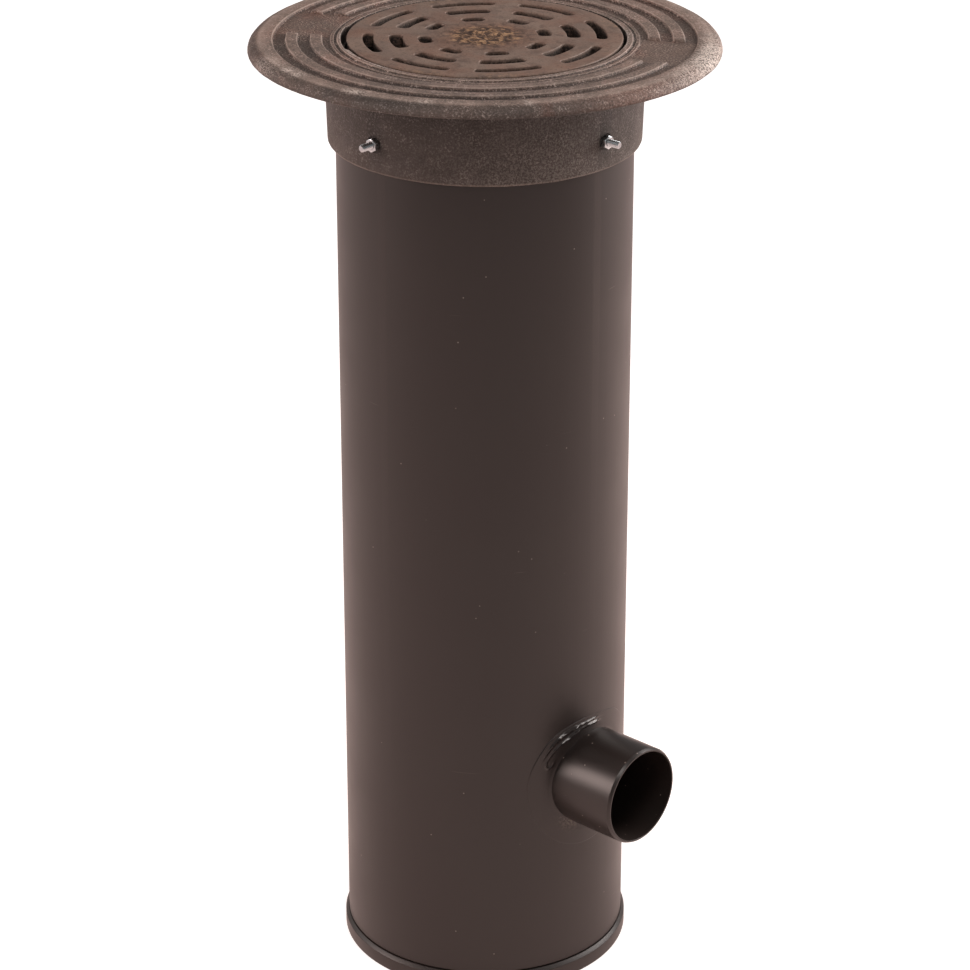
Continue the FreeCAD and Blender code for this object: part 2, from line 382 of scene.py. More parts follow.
def ridge_lift(from_stub, reach, degrees, wobble):
    """Height in millimetres of the ridges beside the stub and on top, and of one drip."""
    sway = 0.9 * math.sin(math.radians(7.0 * degrees)) + 1.5 * wobble
    beside = bump_at(degrees, 118.0, 21.0)
    on_top = bump_at(degrees, 88.0, 9.0)
    chop = 1.0 + 0.13 * math.sin(math.radians(43.0 * degrees))
    chop += 0.10 * math.sin(math.radians(27.0 * degrees))
    ridges = beside * chop * (3.2 * bump_at(from_stub, reach - 5.5 + 0.6 * sway, 1.5)
                              + 2.6 * bump_at(from_stub, 0.5 * reach - 0.8 * sway, 1.25))
    ridges += on_top * (2.4 * bump_at(from_stub, 9.5 + 0.6 * sway, 1.6)
                        + bump_at(from_stub, 14.0 + sway, 1.2))
    drip_turn = 150.0
    drip_from_axis = 68.0
    drip_length = 7.0
    drip_from_stub = 11.0
    drip_width = 4.5
    along_drip = math.radians(degrees - drip_turn) * drip_from_axis / drip_length
    across_drip = (from_stub - drip_from_stub) / drip_width
    drip = 0.9 * bump_at(math.hypot(along_drip, across_drip), 1.0, 0.25)
    drip *= min(1.0, max(0.0, 0.5 + along_drip))
    return (ridges + drip) * min(1.0, (reach - from_stub) / 1.5) * min(1.0, from_stub / 4.0)


def bead_lift(from_stub, reach, degrees):
    """Height in millimetres of the plain bead above the pipe at a distance from the stub."""
    edge_width = 0.8
    ramp_width = 18.0
    fillet_width = 3.5
    inwards = reach - from_stub
    worn_lip = 0.75 * bump_at(degrees, 255.0, 45.0)
    lip = bead_lip / mm * (1.0 - worn_lip - 0.7 * bump_at(degrees, 80.0, 30.0))
    band = lip + (band_thickness / mm - lip) * min(1.0, inwards / ramp_width)
    fillet = (bead_rise / mm - band) * max(0.0, 1.0 - from_stub / fillet_width) ** 2
    return min(1.0, inwards / edge_width) * (band + fillet)


def stub_radius(distance):
    """Outside radius of the stub at a distance from the gully's axis."""
    return spigot_r - max(0.0, root_end - distance) * root_taper


def bead_column(around):
    """Points across the bead from its outer edge up to the stub, and the hidden corner last."""
    corner_x = riser_r
    for trial in range(4):
        corner_r = stub_radius(corner_x)
        corner_x = math.sqrt(riser_r ** 2 - (corner_r * math.cos(around)) ** 2)
    side = math.asin(corner_r * math.cos(around) / riser_r)
    height = outlet_level + corner_r * math.sin(around)
    across = -corner_r * math.sin(around)
    tangent = Vector((-across * math.tan(side), across, corner_r * math.cos(around))).normalized()
    away = Vector((math.cos(side), math.sin(side), 0.0)).cross(tangent)
    if away.dot(Vector((0.0, math.cos(around), math.sin(around)))) < 0.0:
        away = -away
    sideways = away.dot(Vector((-math.sin(side), math.cos(side), 0.0)))
    wobble = noise.noise(Vector((math.cos(around), math.sin(around), 0.3)) * 2.2)
    degrees = math.degrees(around)
    reach = bead_reach * (0.97 + 0.03 * wobble) * (1.0 - 0.36 * bump_at(degrees, 84.0, 36.0))
    points = []
    polish = []
    for step in range(bead_steps + 1):
        from_stub = reach * (1.0 - step / bead_steps)
        turned = side + sideways * from_stub / riser_r
        foot = Vector((riser_r * math.cos(turned), riser_r * math.sin(turned), height + away.z * from_stub))
        ridge = ridge_lift(from_stub / mm, reach / mm, degrees, wobble)
        lift = mm * (bead_lift(from_stub / mm, reach / mm, degrees) + ridge)
        lean = min(1.0, from_stub / (8.0 * mm))
        upwards = Vector((1.0, 0.0, 0.0)).lerp(Vector((math.cos(turned), math.sin(turned), 0.0)), lean)
        points.append(tuple(foot + upwards.normalized() * lift))
        polish.append(min(1.0, 1.2 * ridge))
    points.append((riser_r * math.cos(side), riser_r * math.sin(side), height))
    return points, polish + [0.0]


bead_turns = [360.0 * column / bead_columns for column in range(bead_columns)]
bead_strips = [bead_column(math.radians(degrees)) for degrees in bead_turns]
bead_rows = np.array([points for points, polish in bead_strips]).transpose(1, 0, 2)
remelted_rows = np.array([polish for points, polish in bead_strips]).transpose()
dusty_rows = [[bump_at(degrees, 236.0, 13.0) * bump_at(row, bead_steps, 0.3 * bead_steps)
               for degrees in bead_turns] for row in range(len(bead_rows))]
outlet_weld = skin("outlet_weld_bead", bead_rows, attributes={
    "remelted": remelted_rows, "dusty": dusty_rows})
dress(outlet_weld, polyethylene, "outlet_weld")

# Frame: one sand casting of grey iron, slipped over the top of the riser and clamped by bolts.
# Its wide flange has a lip round the grate, two ribs that stop at flat lands, and a rounded rim.
collar_in = 158.1 * mm
collar_foot = 951.0 * mm
collar_out_low = 165.8 * mm
collar_out_high = 169.2 * mm
seat_r = 133.8 * mm
seat_level = 1038.0 * mm
pocket_r = 147.7 * mm
frame_top = 1061.5 * mm
groove_level = 1058.2 * mm
flange_level = 1049.0 * mm
lip_r = 155.5 * mm
lip_top = frame_top - 1.0 * mm
lip_foot_r = 162.0 * mm
rib_starts = (170.0 * mm, 195.7 * mm)
rib_width = 12.0 * mm
rib_foot = 1.2 * mm
rim_in = 221.4 * mm
rim_out = 247.5 * mm
rim_round_width = 15.0 * mm
rim_round_height = 11.0 * mm
notch_level = frame_top - 16.0 * mm
notch_reach = 2.6 * mm
notch_start = 208.0
notch_span = 33.0
land_half = 39.0 * mm
land_angle = math.radians(27.0)
land_slope = 2.3 * mm

frame_corners = [
    (collar_in, collar_foot, 1.0 * mm),
    (collar_in, riser_top, 0.0),
    (seat_r, riser_top, 1.0 * mm),
    (seat_r, seat_level, 1.0 * mm),
    (pocket_r, seat_level, 1.5 * mm),
    (pocket_r, notch_level, 0.0),
    (pocket_r, notch_level, 0.0),
    (pocket_r, lip_top, 1.0 * mm),
    (lip_r - 1.5 * mm, lip_top, 1.2 * mm),
    (lip_r - 0.3 * mm, lip_top - 1.8 * mm, 0.5 * mm),
    (lip_r + 1.5 * mm, lip_top - 1.8 * mm, 0.5 * mm),
    (lip_r + 2.5 * mm, lip_top - 1.0 * mm, 0.8 * mm),
    (lip_foot_r - 1.0 * mm, lip_top - 1.2 * mm, 1.0 * mm),
    (lip_foot_r + 0.5 * mm, groove_level, 1.2 * mm),
]
for rib_in in rib_starts:
    frame_corners += [
        (rib_in - rib_foot, groove_level, 1.2 * mm),
        (rib_in, frame_top, 1.7 * mm),
        (rib_in + rib_width, frame_top, 1.7 * mm),
        (rib_in + rib_width + rib_foot, groove_level, 1.2 * mm),
    ]
frame_corners += [(rim_in - rib_foot, groove_level, 1.2 * mm), (rim_in, frame_top, 1.7 * mm)]
for rise in np.radians(np.linspace(90.0, 0.0, 13)):
    frame_corners.append((rim_out - rim_round_width * (1.0 - math.cos(rise)),
                          frame_top - rim_round_height * (1.0 - math.sin(rise)), 0.0))
frame_corners += [
    (rim_out, flange_level, 0.9 * mm),
    (collar_out_high, flange_level, 9.0 * mm),
    (collar_out_low, collar_foot, 3.2 * mm),
]
frame_outline = np.array(rounded(frame_corners, steps=6))

# The mesh's columns follow the straight sides of the lands, so that the ribs end cleanly there.
band_edge = np.array((-52, -48.5, -46, -44, -42.6, -41.6, -40.8, -40.1, -39.5, -39, -38.4, -37)) * mm
band = np.concatenate((band_edge, np.linspace(-34, 34, 22) * mm, -band_edge[::-1]))
sector_columns = 210
sector = np.linspace(0.0, 1.0, sector_columns + 2)[1:-1]
side_to_side = np.concatenate((np.abs(band), np.full(sector_columns, 1.0)))
land_mask = np.clip((land_half + land_slope - side_to_side) / land_slope, 0.0, 1.0)
land_mask = np.tile(land_mask * land_mask * (3.0 - 2.0 * land_mask), 2)


def frame_angles(radius):
    """Directions of the mesh columns at a radius."""
    across = np.arcsin(band / radius)
    between = (1.0 - sector) * across[-1] + sector * (math.pi - across[-1])
    half = np.concatenate((across, between))
    return land_angle + np.concatenate((half, half + math.pi))


def smooth_step(values, low, high):
    """Rise from 0 to 1 between two values, with soft ends."""
    share = np.clip((values - low) / (high - low), 0.0, 1.0)
    return share * share * (3.0 - 2.0 * share)


to_next = np.roll(frame_outline, -1, axis=0) - frame_outline
to_last = frame_outline - np.roll(frame_outline, 1, axis=0)
turn = to_last[:, 0] * to_next[:, 1] - to_last[:, 1] * to_next[:, 0]
run = np.linalg.norm(to_last, axis=1) * np.linalg.norm(to_next, axis=1) + 1e-12
spacing = 0.5 * (np.linalg.norm(to_last, axis=1) + np.linalg.norm(to_next, axis=1)) + 1e-9
bending = np.arcsin(np.clip(turn / run, -1.0, 1.0)) / np.minimum(spacing, 1.5 * mm)
# Convex bends are rubbed paler; concave bends get painted shade.
edge_share = np.clip(-bending * 1.1 * mm, 0.0, 1.0)
crease_shade = np.clip(bending * 0.9 * mm, 0.0, 1.0)


def round_share(angles, places):
    """Highest of the bumps (direction and spread in degrees, strength) at each of the angles."""
    share = np.zeros(len(angles))
    for direction, spread, strength in places:
        offset = (np.degrees(angles) - direction + 180.0) % 360.0 - 180.0
        share = np.maximum(share, strength * np.exp(-(offset / spread) ** 2))
    return share


# Places of wear, rust, painted shade and a painted highlight round the frame: direction and spread in
# degrees, and strength.
lip_scrapes = ((-114.0, 14.0, 0.9), (-94.0, 9.0, 0.7), (-140.0, 12.0, 0.5),
               (-20.0, 12.0, 0.4), (40.0, 25.0, 0.4))
scrapes = ((-106.0, 2.2, 0.9), (-101.5, 1.8, 0.8), (-81.0, 3.0, 0.7), (-62.0, 2.0, 0.5), (-37.0, 1.0, 0.5))
# Bare places; the wide one on the right is also a painted highlight.
bare_and_highlight_places = ((26.0, 17.0, 1.0), (-115.0, 6.0, 0.3))
# Painted shade on the rim's face, mostly at the left and front.
face_shade_places = ((-75.0, 24.0, 1.0), (-125.0, 30.0, 0.6), (170.0, 40.0, 0.6), (-40.0, 25.0, 0.45))
rusty_places = ((-8.0, 14.0, 0.6), (-33.0, 1.5, 0.5), (-82.0, 3.0, 0.35),
                (100.0, 20.0, 0.5), (-120.0, 8.0, 0.4))
# Painted shade on the grooves and tops towards the front.
front_shade_places = ((-62.0, 40.0, 1.0),)
chalky_places = ((-28.0, 30.0, 0.16), (150.0, 40.0, 0.12))
notch_corner = 0.8
frame_rows = []
wear = {"edge": [], "hollow_shade": [], "trodden_and_lit": [], "scraped_and_highlit": [], "rusty": []}
notch_rows_seen = 0
for index, (radius, height) in enumerate(frame_outline):
    angles = frame_angles(radius)
    radii = np.full(len(angles), radius)
    heights = np.full(len(angles), height)
    edges = np.full(len(angles), edge_share[index])
    shade_in_hollows = np.full(len(angles), crease_shade[index])
    # The top is painted in its worn, lit tone; below the flange the collar and underside get painted shade.
    trodden_and_lit = np.full(len(angles), smooth_step(height, flange_level - 1.0 * mm, flange_level + 5.0 * mm))
    scraped_and_highlit = np.zeros(len(angles))
    rusty = np.zeros(len(angles))
    front_shade = round_share(angles, front_shade_places)
    face_shade = round_share(angles, face_shade_places)
    on_top = height > flange_level + 1.0 * mm
    # The lifting notch starts at a second row on the same level, so its floor is flat.
    if abs(radius - pocket_r) < 1.4 * mm and height > notch_level - 0.001 * mm:
        notch_rows_seen += 1
        if notch_rows_seen > 1:
            turned = np.degrees(angles) % 360.0
            notch_end = notch_start + notch_span
            inside = smooth_step(turned, notch_start, notch_start + notch_corner)
            inside *= 1.0 - smooth_step(turned, notch_end - notch_corner, notch_end)
            radii += notch_reach * inside
    # The lands lie level with the floors of the grooves.
    if lip_foot_r + 2.0 * mm < radius < rim_in - rib_foot and on_top:
        heights = groove_level + (heights - groove_level) * (1.0 - land_mask)
        edges *= 1.0 - land_mask
        shade_in_hollows *= 1.0 - land_mask
    # Painted shade lies in the small groove along the lip's top.
    if lip_r - 1.5 * mm < radius < lip_foot_r and on_top:
        shade_in_hollows = np.maximum(shade_in_hollows, bump_at(radius, lip_r + 0.6 * mm, 1.3 * mm))
    if lip_foot_r < radius < rim_out - 10.0 * mm:
        edges = np.maximum(edges, 0.2 * smooth_step(heights, frame_top - 1.2 * mm, frame_top - 0.3 * mm))
    # Painted shade darkens the groove floors, more so towards the front, where the tops between lip and rim
    # are painted darker too.
    if height > groove_level - 0.1 * mm and pocket_r < radius < rim_in - rib_foot:
        floor_share = 1.0 - smooth_step(heights, groove_level, groove_level + 1.5 * mm)
        shade_in_hollows = np.maximum(shade_in_hollows, (0.45 + 0.45 * front_shade) * floor_share * (1.0 - land_mask))
    if lip_foot_r < radius < rim_in:
        trodden_and_lit *= 1.0 - 0.4 * front_shade
    # The grate scrapes the lip as it is lifted out, and the pocket below is painted black as shade.
    if radius < pocket_r + 4.0 * mm and height > lip_top - 0.2 * mm:
        scraped_and_highlit = round_share(angles, lip_scrapes)
    if seat_r + 1.0 * mm < radius < pocket_r + 0.8 * mm and height < lip_top - 0.25 * mm:
        shade_in_hollows = np.full(len(angles), 1.0)
        edges = np.zeros(len(angles))
    # The rim is rubbed along its shoulder and knocked bare in places, the right side painted paler still as
    # a highlight; its face gets painted shade, and rust in places.
    if radius > rim_in + 8.0 * mm and on_top:
        edges = np.maximum(edges, 0.55 * bump_at(radius, rim_out - 13.0 * mm, 3.5 * mm))
        trodden_and_lit *= 1.0 - face_shade * smooth_step(radius, rim_out - 13.0 * mm, rim_out - 7.0 * mm)
        face = smooth_step(radius, rim_out - 12.0 * mm, rim_out - 6.0 * mm)
        shade_in_hollows = np.maximum(shade_in_hollows, 0.75 * face * face_shade)
        shoulder = bump_at(radius, rim_out - 13.5 * mm, 4.5 * mm)
        scraped_and_highlit = np.maximum(round_share(angles, scrapes) * shoulder, round_share(angles, bare_and_highlight_places))
        rusty = round_share(angles, rusty_places)
        rusty *= smooth_step(radius, rim_out - 16.0 * mm, rim_out - 8.0 * mm)
    # The collar is chalky low down, and the flange's lower edge is hardly rubbed.
    if radius > collar_in + 2.0 * mm and height < flange_level - 4.0 * mm:
        low_down = 1.0 - 0.8 * smooth_step(height, collar_foot + 20.0 * mm, flange_level - 15.0 * mm)
        scraped_and_highlit = low_down * round_share(angles, chalky_places)
    if radius > collar_out_high + 10.0 * mm and height < flange_level + 1.2 * mm:
        edges *= 0.35
    frame_rows.append(np.stack((radii * np.cos(angles), radii * np.sin(angles), heights), axis=1))
    for label, values in zip(wear, (edges, shade_in_hollows, trodden_and_lit, scraped_and_highlit, rusty)):
        wear[label].append(values)
frame_sharp = 50.0
casting = skin("frame_casting", frame_rows, sharp=frame_sharp, attributes=wear)

# The mould's sand leaves the casting a little uneven; it only ever falls short of the true outline.
unevenness = 0.45 * mm
uneven_places = []
normals = [Vector(item.vector) for item in casting.data.vertex_normals]
for vertex, normal in zip(casting.data.vertices, normals):
    swell = noise.noise(vertex.co * per_metre(26.0)) + 0.6 * noise.noise(vertex.co * per_metre(9.0))
    uneven_places.append(vertex.co - normal * unevenness * (0.5 + 0.5 * max(-1.0, min(1.0, swell))))
casting.data.vertices.foreach_set("co", np.array(uneven_places).ravel())
casting.data.update()
nut_seat = 165.71 * mm
spot_face_r = 9.0 * mm
cut_with(casting, bolt_drill(spot_face_r, start=nut_seat, end=180.0 * mm))
cut_with(casting, bolt_drill(bolt_hole_r, start=150.0 * mm, end=180.0 * mm))
clean(casting.data, frame_sharp)

# Sand-cast grey iron under a thin skin of brown rust: matt and grainy from the mould's sand, the high edges
# rubbed paler by feet and handling, and small pale specks of old mortar. Painted shade darkens the collar
# under the flange, the creases, groove floors and pocket, and the rim's face; a painted highlight pales the
# rim's right side.
cast_iron, tree, shader, place = start_material("sand_cast_iron")
patches, grain, rust_noise, cluster_noise = [
    add(tree, "ShaderNodeTexNoise", {
        "Vector": place, "Scale": per_metre(size), "Detail": detail, "Roughness": roughness}).outputs[0]
    for size, detail, roughness in (
        (38.0, 5.0, 0.6), (2.0, 3.0, 0.75), (60.0, 7.0, 0.68), (15.0, 3.0, 0.6))]
edge, hollow_shade, trodden_and_lit, scraped_and_highlit, rusty = [
    add(tree, "ShaderNodeAttribute", attribute_name=label).outputs["Fac"] for label in wear]
rust, clusters, speck_strength, pit_strength, rubbed, bare_grain, gloss = [
    add(tree, "ShaderNodeMapRange", {
        "Value": value, "From Min": start, "From Max": end, "To Min": least, "To Max": most}).outputs[0]
    for value, start, end, least, most in (
        (rust_noise, 0.47, 0.66, 0.0, 0.75),
        (cluster_noise, 0.42, 0.60, 0.25, 1.0),
        (trodden_and_lit, 0.0, 1.0, 0.5, 1.0),
        (trodden_and_lit, 0.0, 1.0, 0.7, 0.9),
        (rust_noise, 0.36, 0.58, 0.25, 1.0),
        (grain, 0.465, 0.53, 0.0, 1.0),
        (patches, 0.3, 0.7, 0.52, 0.72))]
clustered, rubbed_edge, bare_and_highlight, rust_trodden_and_lit = [
    add(tree, "ShaderNodeMath", {0: one, 1: other}, operation="MULTIPLY").outputs[0]
    for one, other in ((clusters, speck_strength), (edge, rubbed), (scraped_and_highlit, bare_grain), (rust, trodden_and_lit))]
specks, pits = [
    add(tree, "ShaderNodeMapRange", {
        "Value": grain, "From Min": start, "From Max": end, "To Max": most}).outputs[0]
    for start, end, most in ((0.54, 0.62, clustered), (0.48, 0.38, pit_strength))]
rust_here = add(tree, "ShaderNodeMath", {0: rust_trodden_and_lit, 1: rusty}, operation="MAXIMUM").outputs[0]
# Each colour runs from painted shade under the flange to the top's worn, lit tone.
skin_dark, skin_pale, mortar = [
    add(tree, "ShaderNodeMix", {
        0: trodden_and_lit, 6: colour(shaded_side), 7: colour(worn_and_lit)}, data_type="RGBA").outputs[2]
    for shaded_side, worn_and_lit in (("#302a27", "#4d3f38"), ("#443d39", "#8d776b"), ("#a69d99", "#c4b0a5"))]
shade = skin_dark
for share, coat in (
        (patches, skin_pale), (rust_here, colour("#84594a")), (hollow_shade, colour("#352b26")),
        (pits, colour("#29211d")), (specks, mortar), (rubbed_edge, colour("#cab6aa")),
        (bare_and_highlight, colour("#f2e4da"))):
    shade = add(tree, "ShaderNodeMix", {0: share, 6: shade, 7: coat}, data_type="RGBA").outputs[2]
coarse = add(tree, "ShaderNodeBump", {
    "Height": patches, "Strength": 0.5, "Distance": 1.2 * mm}).outputs[0]
relief = add(tree, "ShaderNodeBump", {
    "Height": grain, "Distance": 0.7 * mm, "Normal": coarse}).outputs[0]
for socket, source in (("Base Color", shade), ("Roughness", gloss), ("Normal", relief)):
    tree.links.new(source, shader.inputs[socket])
dress(casting, cast_iron, "frame")

# Grate: one sand casting of grey iron that lies loose in the frame's seat.
# A deep rim carries a web with three rings of eight curved slots, and rust crusts its middle.
grate_r = 144.3 * mm
grate_foot_r = 143.5 * mm
grate_rim_in = 129.5 * mm
grate_top = 1061.0 * mm
web_level = 1046.0 * mm
crust_r = 34.0 * mm
crust_height = 1.05 * mm
grate_columns = 192
grate_outline = rounded([
    (0.0, web_level, 0.0),
    (grate_rim_in, web_level, 1.0 * mm),
    (grate_rim_in, seat_level, 1.0 * mm),
    (grate_foot_r, seat_level, 1.0 * mm),
    (grate_r, grate_top, 1.6 * mm),
    (crust_r + 2.0 * mm, grate_top, 0.0),
    (0.0, grate_top, 0.0),
])
grate_rows = lathe(grate_outline[:-1], grate_columns)
for radius in np.linspace(crust_r + 1.0 * mm, 0.0, 44):
    ring = []
    for x, y, z in lathe([(radius, grate_top)], grate_columns)[0]:
        spot = Vector((x, y, 0.0))
        lumps = noise.noise(spot * per_metre(13.0)) + 0.7 * noise.noise(spot * per_metre(5.5))
        cracks = abs(noise.noise((spot + Vector((0.4, 0.1, 0.0))) * per_metre(9.0)))
        fade = float(smooth_step(np.array(radius), crust_r, crust_r - 9.0 * mm))
        rise = fade * (0.35 + 0.9 * lumps + 0.6 * cracks)
        ring.append((x, y, z + crust_height * max(0.0, min(1.0, rise))))
    grate_rows.append(ring)
grate_rows = np.array(grate_rows)
grate_turns = np.degrees(np.arctan2(grate_rows[:, :, 1], grate_rows[:, :, 0]))
grate_radii = np.hypot(grate_rows[:, :, 0], grate_rows[:, :, 1])
rust_rows = np.zeros(grate_turns.shape)
for direction, spread in ((-73.0, 8.0), (-42.0, 10.0), (150.0, 12.0), (60.0, 7.0)):
    rust_rows = np.maximum(rust_rows, np.exp(-((grate_turns - direction) / spread) ** 4))
rust_rows *= np.exp(-((grate_radii - 135.0 * mm) / (8.0 * mm)) ** 4)
grate_blank = skin("grate_casting", grate_rows, loop=False, attributes={"rusting": rust_rows})


def slot_cutter(name, outer_r, width, span, corner=5.5 * mm, flare=1.2 * mm):
    """Helper shaped like the space of one slot, flared at the top to round the slot's upper edge."""
    overshoot = 2.0 * mm
    flare_steps = 5
    levels = [(seat_level - overshoot, 0.0), (grate_top - flare, 0.0)]
    for step in range(1, flare_steps + 1):
        angle = 0.5 * math.pi * step / flare_steps
        levels.append((grate_top - flare * (1.0 - math.sin(angle)), flare * (1.0 - math.cos(angle))))
    levels.append((grate_top + overshoot, flare))
    middle_r = outer_r - 0.5 * width
    half_length = middle_r * math.radians(span) * 0.5
    rows = []
    for height, grow in levels:
        half_w = 0.5 * width + grow
        half_l = half_length + grow
        ring = []
        plan = rounded([(-half_l, -half_w, corner + grow), (half_l, -half_w, corner + grow),
                        (half_l, half_w, corner + grow), (-half_l, half_w, corner + grow)], steps=6)
        for start, end in zip(plan, plan[1:] + plan[:1]):
            pieces = 10 if abs(start[0] - end[0]) > half_l else 1
            for part in range(pieces):
                angle = (start[0] + (end[0] - start[0]) * part / pieces) / middle_r
                radius = middle_r + start[1] + (end[1] - start[1]) * part / pieces
                ring.append((radius * math.cos(angle), radius * math.sin(angle), height))
        rows.append(ring)
    centre = [sum(values) / len(rows[0]) for values in zip(*rows[0])]
    rows.insert(0, [(centre[0], centre[1], rows[0][0][2])] * len(rows[0]))
    rows.append([(centre[0], centre[1], rows[-1][0][2])] * len(rows[0]))
    return skin(name, rows, loop=False)


slots_per_ring = 8
slot_start = math.radians(8.9)
slot_cutters = [
    slot_cutter("outer_slot", 127.7 * mm, 11.5 * mm, 33.0),
    slot_cutter("middle_slot", 100.0 * mm, 14.5 * mm, 30.0),
    slot_cutter("inner_slot", 70.1 * mm, 14.0 * mm, 22.5),
]

# Grate iron: sand cast like the frame, but trodden smoother, a warmer brown, and orange where rust has
# lifted in the middle and along the edge that sits wet in the frame. Painted shade darkens it with depth
# below the top.
grate_iron, tree, shader, place = start_material("rusted_cast_iron")
patches, grain, rust_noise, mottle_noise, crumbs = [
    add(tree, "ShaderNodeTexNoise", {
        "Vector": place, "Scale": per_metre(size), "Detail": detail,
        "Roughness": roughness, "Distortion": distortion}).outputs[0]
    for size, detail, roughness, distortion in (
        (34.0, 5.0, 0.6, 0.0), (2.4, 3.0, 0.72, 0.0), (48.0, 7.0, 0.68, 0.0),
        (13.0, 4.0, 0.6, 0.0), (9.0, 6.0, 0.74, 0.4))]
flat_place = add(tree, "ShaderNodeVectorMath", {
    0: place, 1: (1.0, 1.0, 0.0)}, operation="MULTIPLY").outputs[0]
from_axis = add(tree, "ShaderNodeVectorMath", {0: flat_place}, operation="LENGTH").outputs["Value"]
height = add(tree, "ShaderNodeSeparateXYZ", {"Vector": place}).outputs["Z"]
rusting = add(tree, "ShaderNodeAttribute", attribute_name="rusting").outputs["Fac"]
near_middle, cracked, curled, rust, specks, pits, depth_shade_strength, mottle, gloss = [
    add(tree, "ShaderNodeMapRange", {
        "Value": value, "From Min": start, "From Max": end, "To Min": least, "To Max": most}).outputs[0]
    for value, start, end, least, most in (
        (from_axis, 66.0 * mm, 26.0 * mm, 0.0, 1.0),
        (crumbs, 0.50, 0.43, 0.0, 1.0),
        (crumbs, 0.49, 0.59, 0.0, 1.0),
        (rust_noise, 0.45, 0.72, 0.0, 0.7),
        (grain, 0.58, 0.72, 0.0, 0.5),
        (grain, 0.44, 0.34, 0.0, 0.6),
        (grain, 0.46, 0.58, 0.97, 0.6),
        (mottle_noise, 0.5, 0.66, 0.0, 0.55),
        (patches, 0.3, 0.7, 0.5, 0.68))]
crumbled, dark_cracks, stain, streaks = [
    add(tree, "ShaderNodeMath", {0: one, 1: other}, operation="MULTIPLY").outputs[0]
    for one, other in ((near_middle, crumbs), (cracked, near_middle), (near_middle, 0.55), (rusting, 0.75))]
# Below the top the slot walls and outer edge darken with depth, as painted shade.
lifted, depth_shade = [
    add(tree, "ShaderNodeMapRange", {
        "Value": value, "From Min": start, "From Max": end, "To Max": most}).outputs[0]
    for value, start, end, most in (
        (crumbled, 0.34, 0.52, 0.85),
        (height, grate_top - 0.4 * mm, grate_top - 4.0 * mm, depth_shade_strength))]
orange = add(tree, "ShaderNodeMath", {0: lifted, 1: streaks}, operation="MAXIMUM").outputs[0]
crust = add(tree, "ShaderNodeMix", {
    0: curled, 6: colour("#3a2313"), 7: colour("#c09872")}, data_type="RGBA").outputs[2]
shade = colour("#6e5c53")
for share, coat in (
        (patches, colour("#9a8374")), (mottle, colour("#5a483f")), (rust, colour("#825c4a")),
        (stain, colour("#74492e")), (dark_cracks, colour("#2a1a11")), (orange, crust),
        (pits, colour("#35281f")), (specks, colour("#a8978b")), (depth_shade, colour("#1c1411"))):
    shade = add(tree, "ShaderNodeMix", {0: share, 6: shade, 7: coat}, data_type="RGBA").outputs[2]
crust_relief = add(tree, "ShaderNodeMapRange", {"Value": lifted, "To Min": 0.15}).outputs[0]
coarse = add(tree, "ShaderNodeBump", {
    "Height": crumbs, "Strength": crust_relief, "Distance": 1.2 * mm}).outputs[0]
relief = add(tree, "ShaderNodeBump", {
    "Height": grain, "Strength": 0.45, "Distance": 0.35 * mm, "Normal": coarse}).outputs[0]
for socket, source in (("Base Color", shade), ("Roughness", gloss), ("Normal", relief)):
    tree.links.new(source, shader.inputs[socket])


def ring_tree(name, helpers):
    """Geometry nodes that set copies of each helper round the gully's axis and join them."""
    tree = bpy.data.node_groups.new(name, "GeometryNodeTree")
    tree.interface.new_socket("Geometry", in_out="OUTPUT", socket_type="NodeSocketGeometry")
    sockets = {"Geometry": "NodeSocketGeometry", "Count": "NodeSocketInt", "Start": "NodeSocketFloat"}
    for helper in helpers:
        sockets[helper.name] = "NodeSocketObject"
    for label, kind in sockets.items():
        tree.interface.new_socket(label, in_out="INPUT", socket_type=kind)
    given = add(tree, "NodeGroupInput").outputs
    step = add(tree, "ShaderNodeMath", {0: 2.0 * math.pi, 1: given["Count"]}, operation="DIVIDE").outputs[0]
    index = add(tree, "GeometryNodeInputIndex").outputs[0]
    angle = add(tree, "ShaderNodeMath", {
        0: index, 1: step, 2: given["Start"]}, operation="MULTIPLY_ADD").outputs[0]
    turn = add(tree, "ShaderNodeCombineXYZ", {"Z": angle}).outputs[0]
    points = add(tree, "GeometryNodePoints", {"Count": given["Count"]}).outputs[0]
    joined = add(tree, "GeometryNodeJoinGeometry")
    for helper in helpers:
        shape = add(tree, "GeometryNodeObjectInfo", {"Object": given[helper.name]}).outputs["Geometry"]
        copies = add(tree, "GeometryNodeInstanceOnPoints", {
            "Points": points, "Instance": shape, "Rotation": turn}).outputs[0]
        tree.links.new(copies, joined.inputs[0])
    made = add(tree, "GeometryNodeRealizeInstances", {"Geometry": joined.outputs[0]}).outputs[0]
    return tree, given, made


def run_tree(piece, tree, values):
    """Put a tree on a piece, set its inputs by identifier, and keep the result as plain mesh."""
    modifier = piece.modifiers.new("nodes", "NODES")
    modifier.node_group = tree
    for item in tree.interface.items_tree:
        if item.in_out == "INPUT" and item.name in values:
            modifier[item.identifier] = values[item.name]
    made_plain(piece)


